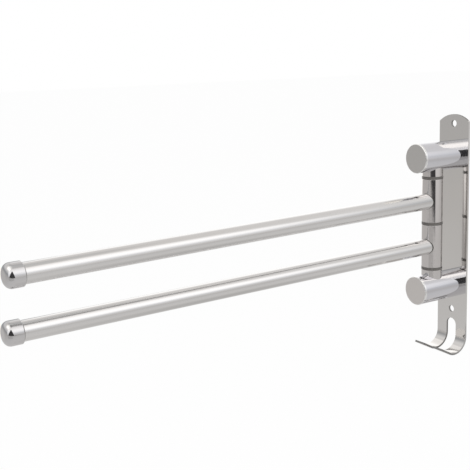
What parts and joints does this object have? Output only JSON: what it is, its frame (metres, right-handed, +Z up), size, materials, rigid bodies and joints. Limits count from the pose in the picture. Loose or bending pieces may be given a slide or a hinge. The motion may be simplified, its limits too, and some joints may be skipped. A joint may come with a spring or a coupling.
{
  "type": "swing arm towel bar",
  "caption": "Wall-mounted towel bar: arched steel strip with a split hook, short posts and round capped arms that swing on one upright column.",
  "frame": {"origin": "on the wall plane, midway between the two wall screw holes", "axes": "+Z up the strip, +Y into the wall, so the posts and the arms at rest stand out towards -Y; +X to the right as seen from the room"},
  "size_m": [0.0514, 0.4091, 0.2109],
  "materials": {
    "plate_steel": "polished",
    "polished_steel": "polished",
    "cap_steel": "polished",
    "satin_steel": "satin",
    "turned_steel": "turned",
    "spring_steel": "dark",
    "dark_washer": "matte",
    "bush_plastic": "matte"
  },
  "bodies": {
    "bracket": {"back_plate": "plate_steel", "upper_post": "polished_steel", "lower_post": "polished_steel", "upper_post_cap": "satin_steel", "lower_post_cap": "satin_steel", "upper_post_plug": "turned_steel", "lower_post_plug": "turned_steel", "upper_collar": "polished_steel", "lower_collar": "polished_steel", "pivot_rod": "turned_steel", "upper_saddle": "turned_steel", "lower_saddle": "turned_steel", "upper_disc_spring": "spring_steel", "lower_disc_spring": "spring_steel", "upper_nut": "turned_steel", "lower_nut": "turned_steel", "top_washer": "dark_washer", "middle_washer": "dark_washer", "bottom_washer": "dark_washer"},
    "upper_arm": {"upper_sleeve": "polished_steel", "upper_sleeve_top_bush": "bush_plastic", "upper_sleeve_bottom_bush": "bush_plastic", "upper_arm_tube": "polished_steel", "upper_arm_cap": "cap_steel"},
    "lower_arm": {"lower_sleeve": "polished_steel", "lower_sleeve_top_bush": "bush_plastic", "lower_sleeve_bottom_bush": "bush_plastic", "lower_arm_tube": "polished_steel", "lower_arm_cap": "cap_steel"}
  },
  "joints": [
    {"name": "upper_arm_swing", "type": "hinge", "parent": "bracket", "child": "upper_arm", "pos_m": [0, -0.0266, 0.01893], "axis": [0, 0, 1], "range_deg": [-94, 86]},
    {"name": "lower_arm_swing", "type": "hinge", "parent": "bracket", "child": "lower_arm", "pos_m": [0, -0.0266, -0.02092], "axis": [0, 0, 1], "range_deg": [-92.2, 87.8]}
  ]
}
